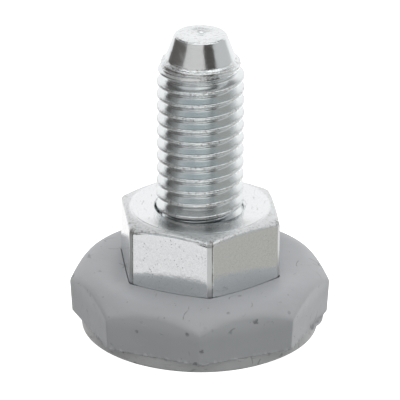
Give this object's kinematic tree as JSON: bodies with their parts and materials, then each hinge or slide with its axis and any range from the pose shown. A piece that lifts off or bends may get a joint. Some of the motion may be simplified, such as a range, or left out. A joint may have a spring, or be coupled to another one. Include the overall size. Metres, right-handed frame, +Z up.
{
  "type": "furniture leveling foot",
  "caption": "Screw-in furniture leveling foot: zinc-plated stud through a captive hex nut, on an octagonal moulded base with a round glide sole.",
  "frame": {"origin": "middle of the sole's underside, on the floor, on the stud's axis", "axes": "+Z up along the stud, from the floor to the furniture; -Y is the front, where one corner of the octagon points"},
  "size_m": [0.0296, 0.0296, 0.0353],
  "materials": {
    "stud_zinc": "bright zinc plating on a rolled thread",
    "nut_zinc": "satin zinc plating with tumbling marks",
    "base_plastic": "mid-grey moulded plastic, satin, scuffed",
    "sole_plastic": "mid-grey moulded plastic, matte"
  },
  "bodies": {
    "foot": {"base_body": "base_plastic", "glide_sole": "sole_plastic", "hex_nut": "nut_zinc"},
    "stud": {"threaded_stud": "stud_zinc"}
  },
  "joints": [
    {"name": "height_adjust", "type": "slide", "parent": "foot", "child": "stud", "axis": [0, 0, 1], "range_m": [0, 0.006]}
  ]
}
